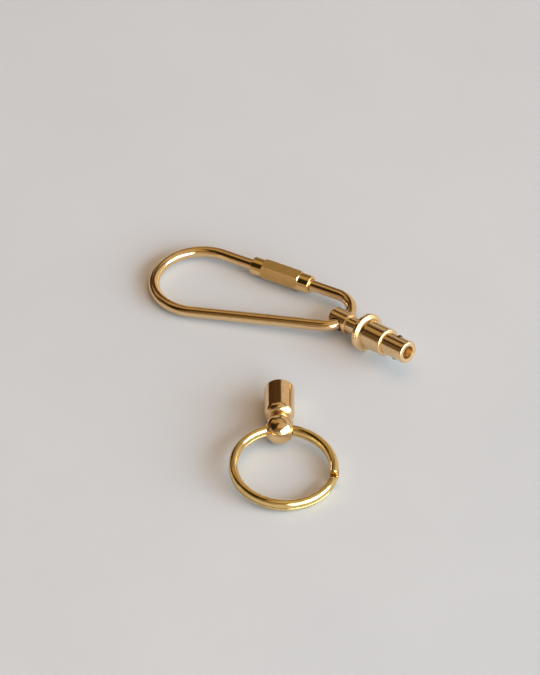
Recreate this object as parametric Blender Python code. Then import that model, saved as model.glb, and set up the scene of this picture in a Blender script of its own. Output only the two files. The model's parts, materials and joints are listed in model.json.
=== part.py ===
"""Two-part brass key holder: a screw-lock link that carries a ball-lock plug, and a loose
half whose socket carries a swivelling eye and a split ring.

Both halves lie on a bench, uncoupled. Metres, +Z up. +Y runs along the loose half's socket,
out of its mouth, and the origin is under the middle of the whole at bench height.
Turned pieces are drawn along their own Z axis, which lies on the axis that they turn about.
"""

import math

import bmesh
import bpy
from mathutils import Matrix, Vector

# Units
MM = 0.001

# Link wire: a pear shape, from a wide bow to a small arc
wire_diameter = 3.0 * MM
bow_radius = 12.4 * MM
small_radius = 6.6 * MM
centre_distance = 36.2 * MM
wire_end_chamfer = 0.25 * MM

# Screw sleeve on the link's far leg, measured along the leg from the bow
sleeve_start = 9.6 * MM
sleeve_length = 17.8 * MM
hex_length = 11.3 * MM
hex_across_flats = 5.15 * MM
hex_chamfer = 0.3 * MM
collar_diameter = 5.0 * MM
collar_fillet = 0.35 * MM
sleeve_lip = 1.2 * MM
sleeve_end_chamfer = 0.2 * MM
liner_wall = 0.4 * MM
bow_clearance = 1.6 * MM
wire_opening = 5.0 * MM
wire_end_show = 0.2 * MM

# Stem: the eye on the link's wire, its neck and the collar inside the plug
eye_diameter = 5.8 * MM
eye_length = 6.2 * MM
eye_fillet = 0.6 * MM
eye_front_chamfer = 0.2 * MM
wire_hole_diameter = 4.2 * MM
neck_diameter = 4.7 * MM
neck_length = 5.5 * MM
stem_collar_length = 1.0 * MM
spindle_seat_depth = 3.0 * MM

# Plug body: flange, barrel and nose
flange_diameter = 10.4 * MM
flange_thickness = 1.25 * MM
flange_rim_fillet = 0.4 * MM
flange_root_fillet = 1.0 * MM
barrel_diameter = 7.5 * MM
barrel_length = 7.55 * MM
barrel_chamfer_length = 0.22 * MM
barrel_chamfer_width = 0.45 * MM
nose_diameter = 6.0 * MM
nose_length = 7.5 * MM
nose_root_fillet = 0.1 * MM
nose_chamfer_length = 0.2 * MM
nose_chamfer_width = 0.5 * MM
nose_bore_diameter = 3.4 * MM
nose_bore_chamfer = 0.15 * MM
barrel_wall = 0.7 * MM
barrel_front_wall = 1.2 * MM
bush_length = 1.6 * MM

# Ball lock
ball_diameter = 1.8 * MM
ball_station = 3.4 * MM
ball_proud = 0.4 * MM
release_travel = 2.0 * MM
spindle_tip_recess = 2.3 * MM
spindle_tip_chamfer = 0.2 * MM
washer_thickness = 0.4 * MM
spring_wire = 0.4 * MM
spring_mean_diameter = 4.6 * MM
spring_turns = 4

# Socket on the loose half
socket_diameter = 7.8 * MM
socket_length = 10.8 * MM
shoulder_fillet = 2.2 * MM
mouth_fillet = 0.25 * MM
mouth_chamfer = 0.15 * MM
socket_bore_clearance = 0.15 * MM
socket_bore_depth = 8.4 * MM
groove_width = 1.9 * MM
groove_depth = 0.35 * MM
clip_recess_diameter = 4.6 * MM
clip_recess_depth = 1.1 * MM

# Swivel eye: a ball with two flats, and a shank through the socket's end wall
ball_eye_diameter = 7.8 * MM
eye_flat_width = 6.55 * MM
ring_hole_diameter = 4.5 * MM
swivel_neck_diameter = 4.0 * MM
swivel_neck_length = 0.1 * MM
shank_diameter = 2.5 * MM
shank_tail = 0.2 * MM
shank_chamfer = 0.08 * MM
clip_groove_depth = 0.25 * MM
clip_thickness = 0.3 * MM
clip_diameter = 3.8 * MM
clip_mouth = 1.4 * MM
eye_washer_thickness = 0.3 * MM

# Split ring: two flat turns pressed from one wire
ring_outer_diameter = 28.0 * MM
ring_wire_width = 2.3 * MM
ring_wire_height = 1.6 * MM
ring_edge_round = 0.15 * MM
ring_turn_gap = 0.1 * MM
ring_jog_angle = math.radians(10)
ring_jog_spread = math.radians(24)
ring_jog_shift = 0.15 * MM
ring_end_clearance = 0.12 * MM
ring_jog_place = math.radians(-20)

# Clearances
seat_gap = 0.1 * MM
running_gap = 0.08 * MM
press_gap = 0.03 * MM
ball_hole_gap = 0.05 * MM
merge_distance = 0.0003 * MM
cutter_overrun = 2.0 * MM

# Facets round each kind of piece
wire_sides = 12
bow_steps = 26
small_arc_steps = 24
turned_steps = 40
small_turned_steps = 28
fillet_steps = 4
ball_eye_steps = 12
ball_rings = 12
spring_rounding = 1
spring_points_per_turn = 10
ring_step = math.radians(7.5)
ring_section_steps = 20
ring_jog_steps = 8
sharp_edge_angle = math.radians(35)

# Rest pose on the bench
link_place = Vector((-18.85 * MM, 20.2 * MM, 0))
link_yaw = math.radians(-20.7)
link_pitch = math.radians(2.0)
link_roll = math.radians(1.2)
stem_place_on_arc = math.radians(-26)
stem_drop = 0.22 * MM
plug_lift = math.radians(9.3)
ball_turn = math.radians(-31)
sleeve_turn = math.radians(35)
socket_place = Vector((2.4 * MM, -39.8 * MM, 0))
eye_turn = math.radians(3)
ring_hang = math.radians(4.9)
ring_offset = 0.17 * MM

# Sizes worked out from those above
wire_radius = wire_diameter / 2
leg_tilt = math.asin((bow_radius - small_radius) / centre_distance)
sleeve_travel = sleeve_start - bow_clearance
long_end = sleeve_start + sleeve_length - sleeve_travel + wire_end_show
short_end = long_end + wire_opening
wire_bore_radius = wire_radius + running_gap
liner_radius = wire_bore_radius + liner_wall
liner_bore_radius = liner_radius + press_gap
hex_start = (sleeve_length - hex_length) / 2
hex_corner_radius = hex_across_flats / math.sqrt(3)

eye_radius = eye_diameter / 2
eye_front = eye_length / 2
neck_radius = neck_diameter / 2
wire_sag = small_radius - math.sqrt(small_radius**2 - eye_radius**2)
hinge_radius = small_radius - wire_sag / 2

flange_radius = flange_diameter / 2
barrel_radius = barrel_diameter / 2
nose_radius = nose_diameter / 2
nose_bore_radius = nose_bore_diameter / 2
chamber_radius = barrel_radius - barrel_wall
body_back = eye_front + neck_length
flange_front = body_back + flange_thickness
barrel_end = flange_front + barrel_length
nose_tip = barrel_end + nose_length
chamber_front = barrel_end - barrel_front_wall
collar_back = body_back + bush_length + seat_gap
collar_front = collar_back + stem_collar_length
washer_back = collar_front + seat_gap
washer_front = washer_back + washer_thickness

ball_radius = ball_diameter / 2
ball_place = barrel_end + ball_station
ball_centre_radius = nose_radius + ball_proud - ball_radius
ball_slope = ball_proud / release_travel
land_radius = ball_centre_radius - ball_radius * math.hypot(1, ball_slope) - ball_hole_gap
waist_radius = land_radius - ball_proud
spindle_back = collar_front - spindle_seat_depth
spindle_tip = nose_tip - spindle_tip_recess

socket_radius = socket_diameter / 2
socket_end = ball_eye_diameter / 2 + swivel_neck_length + seat_gap
socket_mouth = socket_end + socket_length
socket_bore_radius = nose_radius + socket_bore_clearance
socket_bottom = socket_mouth - socket_bore_depth
groove_middle = socket_mouth - ball_station
clip_recess_radius = clip_recess_diameter / 2
clip_recess_bottom = socket_bottom - clip_recess_depth
ball_eye_radius = ball_eye_diameter / 2
shank_radius = shank_diameter / 2
eye_washer_start = clip_recess_bottom + seat_gap
clip_start = eye_washer_start + eye_washer_thickness + seat_gap
clip_groove_radius = shank_radius - clip_groove_depth
shank_end = clip_start + clip_thickness + shank_tail

ring_middle_radius = (ring_outer_diameter - ring_wire_width) / 2
ring_reach = ring_middle_radius + ring_offset
ring_layer = (ring_wire_height + ring_turn_gap) / 2
ring_height = 2 * ring_wire_height + ring_turn_gap

# Colours as RGB, then roughness
polished_brass = ((0.80, 0.58, 0.32), 0.16)
satin_brass = ((0.70, 0.50, 0.28), 0.32)
yellow_brass = ((0.74, 0.60, 0.27), 0.20)
bright_steel = ((0.60, 0.60, 0.60), 0.18)
dark_steel = ((0.16, 0.17, 0.18), 0.24)
bronze = ((0.62, 0.42, 0.24), 0.35)


def clear_scene():
    for obj in list(bpy.data.objects):
        bpy.data.objects.remove(obj, do_unlink=True)


def metal(name, finish):
    """A fully metallic Principled material from a (colour, roughness) pair."""
    colour, roughness = finish
    material = bpy.data.materials.get(name) or bpy.data.materials.new(name)
    material.use_nodes = True
    shader = material.node_tree.nodes["Principled BSDF"]
    shader.inputs["Base Color"].default_value = (*colour, 1)
    shader.inputs["Roughness"].default_value = roughness
    shader.inputs["Metallic"].default_value = 1
    return material


def frame(name, parent, location=(0, 0, 0), rotation=None):
    """An empty that holds one set of axes. Its rotation is a 4 by 4 matrix."""
    empty = bpy.data.objects.new(name, None)
    empty.empty_display_size = socket_diameter
    bpy.context.collection.objects.link(empty)
    empty.parent = parent
    turned_by = rotation if rotation is not None else Matrix.Identity(4)
    empty.matrix_local = Matrix.Translation(location) @ turned_by
    return empty


def piece(name, mesh, parent, material, location=(0, 0, 0)):
    """One sub-part's object, shaded smooth except at its sharp edges."""
    mesh.shade_smooth()
    mesh.set_sharp_from_angle(angle=sharp_edge_angle)
    obj = bpy.data.objects.new(name, mesh)
    obj.data.materials.append(material)
    bpy.context.collection.objects.link(obj)
    obj.parent = parent
    obj.location = location
    return obj


def cutter(name, mesh, parent, location=(0, 0, 0), rotation=None):
    obj = bpy.data.objects.new(name, mesh)
    bpy.context.collection.objects.link(obj)
    obj.parent = parent
    turned_by = rotation if rotation is not None else Matrix.Identity(4)
    obj.matrix_local = Matrix.Translation(location) @ turned_by
    obj.hide_render = True
    obj.display_type = "WIRE"
    return obj


def boolean(obj, other, operation="DIFFERENCE"):
    modifier = obj.modifiers.new(f"{operation.lower()}_{other.name}", "BOOLEAN")
    modifier.operation = operation
    modifier.object = other
    modifier.solver = "EXACT"


def mesh_from(name, bm):
    bmesh.ops.recalc_face_normals(bm, faces=bm.faces)
    mesh = bpy.data.meshes.new(name)
    bm.to_mesh(mesh)
    bm.free()
    return mesh


def fillet(before, corner, after, radius, steps):
    """Points on the arc of the given radius that rounds a corner, at most as wide as its sides."""
    to_before = (before - corner).normalized()
    to_after = (after - corner).normalized()
    half_angle = to_before.angle(to_after) / 2
    longest = min((before - corner).length, (after - corner).length) / 2
    setback = min(radius / math.tan(half_angle), longest)
    rounding = setback * math.tan(half_angle)
    bisector = (to_before + to_after).normalized()
    centre = corner + bisector * rounding / math.sin(half_angle)
    start = corner + to_before * setback - centre
    end = corner + to_after * setback - centre
    whole = start.angle(end)
    points = []
    for step in range(steps + 1):
        share = step / steps
        mixed = start * math.sin((1 - share) * whole) + end * math.sin(share * whole)
        points.append(centre + mixed / math.sin(whole))
    return points


def rounded_outline(corners, closed, steps=fillet_steps):
    """A profile from corners of (distance along the axis, radius, fillet radius).

    A fillet of zero keeps the corner, and a negative one cuts it with a flat chamfer.
    """
    places = [Vector((along, radius)) for along, radius, _ in corners]
    outline = []
    for index, (_, _, rounding) in enumerate(corners):
        at_end = not closed and index in (0, len(corners) - 1)
        if rounding == 0 or at_end:
            outline.append(places[index])
            continue
        before = places[index - 1]
        after = places[(index + 1) % len(places)]
        if rounding > 0:
            outline += fillet(before, places[index], after, rounding, steps)
        else:
            corner = places[index]
            outline.append(corner + (before - corner).normalized() * -rounding)
            outline.append(corner + (after - corner).normalized() * -rounding)
    return outline


def turned(name, corners, closed, sides=turned_steps):
    """Spins a profile about Z. A closed profile is a tube's section, an open one ends on Z."""
    bm = bmesh.new()
    verts = [bm.verts.new((p.y, 0, p.x)) for p in rounded_outline(corners, closed)]
    pairs = list(zip(verts, verts[1:]))
    if closed:
        pairs.append((verts[-1], verts[0]))
    edges = [bm.edges.new(pair) for pair in pairs]
    bmesh.ops.spin(
        bm,
        geom=verts + edges,
        cent=(0, 0, 0),
        axis=(0, 0, 1),
        angle=math.tau,
        steps=sides,
        use_merge=True,
    )
    bmesh.ops.remove_doubles(bm, verts=bm.verts, dist=merge_distance)
    return mesh_from(name, bm)


def rod(name, radius, start, end, sides=turned_steps):
    """A plain cylinder along Z, from start to end."""
    corners = [(start, 0, 0), (start, radius, 0), (end, radius, 0), (end, 0, 0)]
    return turned(name, corners, closed=False, sides=sides)


def block(name, low, high):
    bm = bmesh.new()
    bmesh.ops.create_cube(bm, size=1)
    for vert in bm.verts:
        for axis in range(3):
            vert.co[axis] = low[axis] if vert.co[axis] < 0 else high[axis]
    return mesh_from(name, bm)


def swept(name, loops):
    """Joins a row of equal loops of points into one solid with two flat ends."""
    bm = bmesh.new()
    rows = [[bm.verts.new(point) for point in loop] for loop in loops]
    for row, following in zip(rows, rows[1:]):
        for index in range(len(row)):
            beside = (index + 1) % len(row)
            bm.faces.new((row[index], row[beside], following[beside], following[index]))
    bm.faces.new(rows[0])
    bm.faces.new(rows[-1])
    return mesh_from(name, bm)


def leg_point(along):
    """A point on the far leg's centreline, measured from the bow's end of the leg."""
    root = Vector((math.sin(leg_tilt), math.cos(leg_tilt), 0)) * bow_radius
    return root + leg_direction() * along


def leg_direction():
    return Vector((math.cos(leg_tilt), -math.sin(leg_tilt), 0))


def arc_point(centre_x, radius, angle):
    return Vector((centre_x + radius * math.cos(angle), radius * math.sin(angle), 0))


def link_route():
    """The wire's centreline, from its short end round the small arc and the bow to its long end."""
    tangent_place = math.pi / 2 - leg_tilt
    route = [leg_point(short_end)]
    for step in range(small_arc_steps + 1):
        angle = tangent_place - 2 * tangent_place * step / small_arc_steps
        route.append(arc_point(centre_distance, small_radius, angle))
    bow_sweep = math.tau - 2 * tangent_place
    for step in range(bow_steps + 1):
        angle = -tangent_place - bow_sweep * step / bow_steps
        route.append(arc_point(0, bow_radius, angle))
    route.append(leg_point(long_end))
    return route


def link_wire(parent):
    """One bent wire with an opening in its far leg. Both ends are chamfered to enter the thread."""
    route = link_route()
    first = (route[1] - route[0]).normalized()
    last = (route[-2] - route[-1]).normalized()
    route.insert(1, route[0] + first * wire_end_chamfer)
    route.insert(-1, route[-1] + last * wire_end_chamfer)
    loops = []
    for index, centre in enumerate(route):
        before = route[max(index - 1, 0)]
        after = route[min(index + 1, len(route) - 1)]
        across = (after - before).normalized().cross(Vector((0, 0, 1)))
        at_end = index in (0, len(route) - 1)
        radius = wire_radius - wire_end_chamfer if at_end else wire_radius
        loop = []
        for side in range(wire_sides):
            angle = math.tau * side / wire_sides
            up = Vector((0, 0, radius * math.sin(angle)))
            loop.append(centre + across * radius * math.cos(angle) + up)
        loops.append(loop)
    return piece("link_wire", swept("link_wire", loops), parent, metal("polished_brass", polished_brass))


def screw_sleeve(parent):
    """A hexagon with a round collar at each end, bored for the liner from the bow's side."""
    collar = collar_diameter / 2
    hex_end = sleeve_length - hex_start
    flat_radius = hex_across_flats / 2
    lip = sleeve_length - sleeve_lip
    over_corners = hex_corner_radius + hex_chamfer
    corners = [
        (0, liner_bore_radius, -sleeve_end_chamfer),
        (0, collar, collar_fillet),
        (hex_start, collar, 0),
        (hex_start, flat_radius, 0),
        (hex_start + hex_chamfer, hex_corner_radius, 0),
        (hex_start + hex_chamfer, over_corners, 0),
        (hex_end - hex_chamfer, over_corners, 0),
        (hex_end - hex_chamfer, hex_corner_radius, 0),
        (hex_end, flat_radius, 0),
        (hex_end, collar, 0),
        (sleeve_length, collar, collar_fillet),
        (sleeve_length, wire_bore_radius, -sleeve_end_chamfer),
        (lip, wire_bore_radius, 0),
        (lip, liner_bore_radius, 0),
    ]
    mesh = turned("screw_sleeve", corners, closed=True)
    sleeve = piece("screw_sleeve", mesh, parent, metal("satin_brass", satin_brass))
    prism = rod("hexagon", hex_corner_radius, -cutter_overrun, sleeve_length + cutter_overrun, sides=6)
    boolean(sleeve, cutter("cut_hexagon", prism, parent), "INTERSECT")
    return sleeve


def thread_liner(parent):
    """The threaded tube inside the sleeve that runs on the wire's ends."""
    start = seat_gap
    end = sleeve_length - sleeve_lip - seat_gap
    corners = [
        (start, wire_bore_radius, 0),
        (start, liner_radius, 0),
        (end, liner_radius, 0),
        (end, wire_bore_radius, 0),
    ]
    mesh = turned("thread_liner", corners, closed=True, sides=small_turned_steps)
    return piece("thread_liner", mesh, parent, metal("bright_steel", bright_steel))


def stem_eye(parent):
    """The eye on the wire, the neck and the collar that keeps the plug body on."""
    collar = chamber_radius - running_gap
    seat = waist_radius + press_gap
    corners = [
        (-eye_front, 0, 0),
        (-eye_front, eye_radius, eye_fillet),
        (eye_front, eye_radius, eye_front_chamfer),
        (eye_front, neck_radius, 0),
        (collar_back, neck_radius, 0),
        (collar_back, collar, 0),
        (collar_front, collar, 0),
        (collar_front, seat, 0),
        (spindle_back - seat_gap, seat, 0),
        (spindle_back - seat_gap, 0, 0),
    ]
    mesh = turned("stem_eye", corners, closed=False)
    stem = piece("stem_eye", mesh, parent, metal("polished_brass", polished_brass))
    reach = eye_radius + cutter_overrun
    hole = rod("wire_hole", wire_hole_diameter / 2, -reach, reach)
    lay_along_y = Matrix.Rotation(math.radians(-90), 4, "X")
    boolean(stem, cutter("cut_wire_hole", hole, parent, rotation=lay_along_y))
    return stem


def lock_spindle(parent):
    """The pin whose thick land holds the balls out, and whose waist lets them in."""
    waist_end = ball_place - release_travel
    corners = [
        (spindle_back, 0, 0),
        (spindle_back, waist_radius, 0),
        (waist_end, waist_radius, 0),
        (ball_place, land_radius, 0),
        (spindle_tip, land_radius, -spindle_tip_chamfer),
        (spindle_tip, 0, 0),
    ]
    mesh = turned("lock_spindle", corners, closed=False, sides=small_turned_steps)
    return piece("lock_spindle", mesh, parent, metal("polished_brass", polished_brass))


def thrust_washer(parent):
    outer = chamber_radius - running_gap
    inner = waist_radius + running_gap
    corners = [
        (washer_back, inner, 0),
        (washer_back, outer, 0),
        (washer_front, outer, 0),
        (washer_front, inner, 0),
    ]
    mesh = turned("thrust_washer", corners, closed=True, sides=small_turned_steps)
    return piece("thrust_washer", mesh, parent, metal("bronze", bronze))


def release_spring(parent):
    """A round-wire helix between the washer and the front of the body's chamber."""
    wire = spring_wire / 2
    low = washer_front + seat_gap + wire
    high = chamber_front - seat_gap - wire
    mean = spring_mean_diameter / 2
    count = spring_turns * spring_points_per_turn
    curve = bpy.data.curves.new("release_spring", "CURVE")
    curve.dimensions = "3D"
    curve.bevel_depth = wire
    curve.bevel_resolution = spring_rounding
    curve.use_fill_caps = True
    spline = curve.splines.new("POLY")
    spline.points.add(count)
    for index in range(count + 1):
        angle = math.tau * index / spring_points_per_turn
        height = low + (high - low) * index / count
        spline.points[index].co = (mean * math.cos(angle), mean * math.sin(angle), height, 1)
    curve.materials.append(metal("bright_steel", bright_steel))
    spring = bpy.data.objects.new("release_spring", curve)
    bpy.context.collection.objects.link(spring)
    spring.parent = parent
    turn_pitch = (high - low) / spring_turns
    print(f"release_spring: least gap between turns {(turn_pitch - spring_wire) / MM:.2f} mm")
    return spring


def plug_body(parent):
    """Flange, barrel and nose in one, bored for the spring and the spindle."""
    corners = [
        (body_back, chamber_radius, 0),
        (body_back, flange_radius, flange_rim_fillet),
        (flange_front, flange_radius, flange_rim_fillet),
        (flange_front, barrel_radius, flange_root_fillet),
        (barrel_end - barrel_chamfer_length, barrel_radius, 0),
        (barrel_end, barrel_radius - barrel_chamfer_width, 0),
        (barrel_end, nose_radius, nose_root_fillet),
        (nose_tip - nose_chamfer_length, nose_radius, 0),
        (nose_tip, nose_radius - nose_chamfer_width, 0),
        (nose_tip, nose_bore_radius, -nose_bore_chamfer),
        (chamber_front, nose_bore_radius, 0),
        (chamber_front, chamber_radius, 0),
    ]
    mesh = turned("plug_body", corners, closed=True)
    body = piece("plug_body", mesh, parent, metal("polished_brass", polished_brass))
    reach = nose_radius + cutter_overrun
    hole = rod("ball_holes", ball_radius + ball_hole_gap, -reach, reach, sides=small_turned_steps)
    across = Matrix.Rotation(ball_turn, 4, "Z") @ Matrix.Rotation(math.radians(90), 4, "Y")
    boolean(body, cutter("cut_ball_holes", hole, parent, (0, 0, ball_place), across))
    return body


def rear_bush(parent):
    """Pressed into the flange's back, it keeps the stem's collar inside."""
    outer = chamber_radius - press_gap
    inner = neck_radius + running_gap
    corners = [
        (body_back, inner, 0),
        (body_back, outer, 0),
        (body_back + bush_length, outer, 0),
        (body_back + bush_length, inner, 0),
    ]
    mesh = turned("rear_bush", corners, closed=True)
    return piece("rear_bush", mesh, parent, metal("bronze", bronze))


def lock_ball(name, parent):
    bm = bmesh.new()
    bmesh.ops.create_uvsphere(bm, u_segments=2 * ball_rings, v_segments=ball_rings, radius=ball_radius)
    return piece(name, mesh_from(name, bm), parent, metal("dark_steel", dark_steel))


def socket_shell(parent):
    """The tube that takes the plug's nose, with the balls' groove and the swivel's end wall."""
    slope = groove_depth
    groove_back = groove_middle - groove_width / 2
    groove_front = groove_middle + groove_width / 2
    groove_radius = socket_bore_radius + groove_depth
    shank_hole = shank_radius + running_gap
    corners = [
        (socket_end, shank_hole, 0),
        (socket_end, socket_radius, shoulder_fillet),
        (socket_mouth, socket_radius, mouth_fillet),
        (socket_mouth, socket_bore_radius, -mouth_chamfer),
        (groove_front, socket_bore_radius, 0),
        (groove_front - slope, groove_radius, 0),
        (groove_back + slope, groove_radius, 0),
        (groove_back, socket_bore_radius, 0),
        (socket_bottom, socket_bore_radius, 0),
        (socket_bottom, clip_recess_radius, 0),
        (clip_recess_bottom, clip_recess_radius, 0),
        (clip_recess_bottom, shank_hole, 0),
    ]
    mesh = turned("socket_shell", corners, closed=True)
    return piece("socket_shell", mesh, parent, metal("polished_brass", polished_brass))


def swivel_eye(parent):
    """A ball with two flats and a cross hole, on a shank that turns in the socket's end wall."""
    neck = swivel_neck_diameter / 2
    neck_end = socket_end - seat_gap
    neck_angle = math.acos(neck / ball_eye_radius)
    corners = []
    for step in range(ball_eye_steps + 1):
        angle = -math.pi / 2 + (math.pi / 2 + neck_angle) * step / ball_eye_steps
        radius = ball_eye_radius * math.cos(angle) if step else 0
        corners.append((ball_eye_radius * math.sin(angle), radius, 0))
    groove_end = clip_start + clip_thickness + seat_gap / 2
    corners += [
        (neck_end, neck, 0),
        (neck_end, shank_radius, 0),
        (clip_start - seat_gap / 2, shank_radius, 0),
        (clip_start - seat_gap / 2, clip_groove_radius, 0),
        (groove_end, clip_groove_radius, 0),
        (groove_end, shank_radius, 0),
        (shank_end, shank_radius, -shank_chamfer),
        (shank_end, 0, 0),
    ]
    mesh = turned("swivel_eye", corners, closed=False)
    eye = piece("swivel_eye", mesh, parent, metal("polished_brass", polished_brass))
    reach = ball_eye_radius + cutter_overrun
    half_width = eye_flat_width / 2
    for side, name in ((-1, "cut_flat_a"), (1, "cut_flat_b")):
        ends = sorted((side * half_width, side * reach))
        low = (ends[0], -reach, -reach)
        high = (ends[1], reach, reach)
        boolean(eye, cutter(name, block(name, low, high), parent))
    hole = rod("ring_hole", ring_hole_diameter / 2, -reach, reach)
    lay_along_x = Matrix.Rotation(math.radians(90), 4, "Y")
    boolean(eye, cutter("cut_ring_hole", hole, parent, rotation=lay_along_x))
    return eye


def eye_washer(parent):
    outer = clip_recess_radius - running_gap
    inner = shank_radius + running_gap
    end = eye_washer_start + eye_washer_thickness
    corners = [(eye_washer_start, inner, 0), (eye_washer_start, outer, 0), (end, outer, 0), (end, inner, 0)]
    mesh = turned("eye_washer", corners, closed=True, sides=small_turned_steps)
    return piece("eye_washer", mesh, parent, metal("bronze", bronze))


def eye_clip(parent):
    """An open spring clip in the shank's groove."""
    outer = clip_diameter / 2
    inner = clip_groove_radius + press_gap
    end = clip_start + clip_thickness
    corners = [(clip_start, inner, 0), (clip_start, outer, 0), (end, outer, 0), (end, inner, 0)]
    mesh = turned("eye_clip", corners, closed=True, sides=small_turned_steps)
    clip = piece("eye_clip", mesh, parent, metal("bright_steel", bright_steel))
    low = (-clip_mouth / 2, 0, clip_start - cutter_overrun)
    high = (clip_mouth / 2, outer + cutter_overrun, end + cutter_overrun)
    boolean(clip, cutter("cut_clip_mouth", block("clip_mouth", low, high), parent))
    return clip


def ring_section(upper):
    """The ring wire's section as (radial, upward) points: domed outside, flat where the turns meet.

    upper is 1 in the upper turn, 0 in the lower turn, and runs between them along the jog.
    """
    half_width = ring_wire_width / 2
    base = ring_wire_height / 2 - ring_edge_round
    dome = ring_wire_height - ring_edge_round
    points = []
    for step in range(ring_section_steps):
        angle = math.tau * step / ring_section_steps
        radial = half_width * math.cos(angle)
        into_edge = max(abs(radial) - half_width + ring_edge_round, 0)
        flat = math.sqrt(ring_edge_round**2 - into_edge**2)
        domed = dome * abs(math.sin(angle))
        if step <= ring_section_steps / 2:
            upward = (domed - base) * upper + (base + flat) * (1 - upper)
        else:
            upward = (-base - flat) * upper + (base - domed) * (1 - upper)
        points.append(Vector((radial, upward)))
    return points


def eased(share):
    """Runs from 1 to 0 as the share runs from 0 to 1, level at both ends, and stays 0 beyond."""
    return (1 + math.cos(math.pi * min(share, 1))) / 2


def split_ring(parent):
    """Two turns of one wire. It climbs from the lower to the upper turn along one short jog, and
    each end stops just short of the jog. There the climbing wire stands out a little, and the
    upper end lies in beside it."""
    end_turn = ring_end_clearance / ring_middle_radius
    half_jog = ring_jog_angle / 2
    plain = math.tau - half_jog - end_turn - half_jog
    plain_steps = round(plain / ring_step)
    first = -half_jog - plain
    route = [(first + plain * step / plain_steps, 1) for step in range(plain_steps)]
    for step in range(ring_jog_steps + 1):
        share = step / ring_jog_steps
        route.append((-half_jog + ring_jog_angle * share, eased(share)))
    route += [(half_jog + plain * step / plain_steps, 0) for step in range(1, plain_steps + 1)]
    loops = []
    for angle, upper in route:
        outward = Vector((math.cos(angle + ring_jog_place), math.sin(angle + ring_jog_place), 0))
        height = ring_layer * (2 * upper - 1)
        out = eased(abs(angle) / ring_jog_spread) - eased((angle - first) / ring_jog_spread)
        middle = ring_middle_radius + ring_jog_shift * out
        loop = []
        for point in ring_section(upper):
            loop.append(outward * (middle + point.x) + Vector((0, 0, height + point.y)))
        loops.append(loop)
    mesh = swept("split_ring", loops)
    mesh.transform(Matrix.Translation((0, -ring_reach, 0)))
    return piece("split_ring", mesh, parent, metal("yellow_brass", yellow_brass))


def turn(angle, axis):
    return Matrix.Rotation(angle, 4, axis)


def axes_from(x_axis, y_axis, z_axis):
    """A rotation matrix whose columns are three square unit vectors."""
    return Matrix((x_axis, y_axis, z_axis)).transposed().to_4x4()


def build_link_half(bench):
    half = frame("link_half", bench, link_place)
    lie = turn(link_yaw, "Z") @ turn(-link_pitch, "Y") @ turn(link_roll, "X")
    link = frame("link_frame", half, rotation=lie)
    link_wire(link)

    along = leg_direction()
    up = Vector((0, 0, 1))
    across = up.cross(along)
    leg = frame("leg_frame", link, leg_point(sleeve_start), axes_from(up, across, along))
    thread_liner(leg)
    sleeve = frame("sleeve_frame", leg, rotation=turn(sleeve_turn, "Z"))
    screw_sleeve(sleeve)

    outward = Vector((math.cos(stem_place_on_arc), math.sin(stem_place_on_arc), 0))
    tangent = up.cross(outward)
    hinge = outward * hinge_radius + Vector((centre_distance, 0, -stem_drop))
    level = axes_from(tangent.cross(outward), tangent, outward)
    stem = frame("stem_frame", link, hinge, level @ turn(-plug_lift, "Y"))
    stem_eye(stem)
    lock_spindle(stem)
    plug = frame("plug_frame", stem)
    thrust_washer(plug)
    release_spring(plug)
    plug_body(plug)
    rear_bush(plug)
    for side, name in ((1, "lock_ball_a"), (-1, "lock_ball_b")):
        reach = side * ball_centre_radius
        place = Vector((reach * math.cos(ball_turn), reach * math.sin(ball_turn), ball_place))
        lock_ball(name, frame(f"{name}_frame", plug, place))
    return half


def ring_droop():
    """How far the ring tilts down from the ball's hole until its rim lies on the bench.

    The ring rests on the crest of its domed wire. With t for the tilt, e for the eye's turn and R
    for the crest's radius, the ring's middle drops by its distance times t, and the crest drops
    below the middle by R sqrt(t^2 + e^2). Setting the sum to the height to lose gives a quadratic
    in t.
    """
    crest = ring_middle_radius
    back = ring_reach * math.cos(ring_hang)
    drop = socket_radius - ring_height / 2 - ring_reach * math.sin(ring_hang) * eye_turn
    square = crest**2 - back**2
    line = back * drop
    plain = drop**2 - (crest * eye_turn) ** 2
    return (math.sqrt(line**2 + square * plain) - line) / square


def build_loose_half(bench):
    half = frame("loose_half", bench, socket_place + Vector((0, 0, socket_radius)))
    lie_along_y = axes_from(Vector((1, 0, 0)), Vector((0, 0, -1)), Vector((0, 1, 0)))
    socket = frame("socket_frame", half, rotation=lie_along_y)
    socket_shell(socket)
    eye = frame("eye_frame", socket, rotation=turn(eye_turn, "Z"))
    swivel_eye(eye)
    eye_washer(eye)
    eye_clip(eye)
    flat = lie_along_y.inverted() @ turn(ring_droop(), "X") @ turn(ring_hang, "Z")
    split_ring(frame("ring_frame", eye, rotation=flat))
    return half


def bounds(objects):
    """The lowest and highest corner of these objects' evaluated meshes."""
    bpy.context.view_layer.update()
    graph = bpy.context.evaluated_depsgraph_get()
    points = []
    for obj in objects:
        evaluated = obj.evaluated_get(graph)
        mesh = evaluated.to_mesh()
        points += [evaluated.matrix_world @ vert.co for vert in mesh.vertices]
        evaluated.to_mesh_clear()
    low = Vector([min(point[axis] for point in points) for axis in range(3)])
    high = Vector([max(point[axis] for point in points) for axis in range(3)])
    return low, high


def pieces_under(parent):
    return [obj for obj in parent.children_recursive if obj.type != "EMPTY" and not obj.hide_render]


def lay_on_bench(bench, halves):
    """Lowers each half to the bench, then centres the whole over the origin."""
    for half in halves:
        low, _ = bounds(pieces_under(half))
        half.location.z -= low.z
    low, high = bounds(pieces_under(bench))
    bench.location = -(low + high) / 2
    bench.location.z = 0
    bpy.context.view_layer.update()


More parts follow.
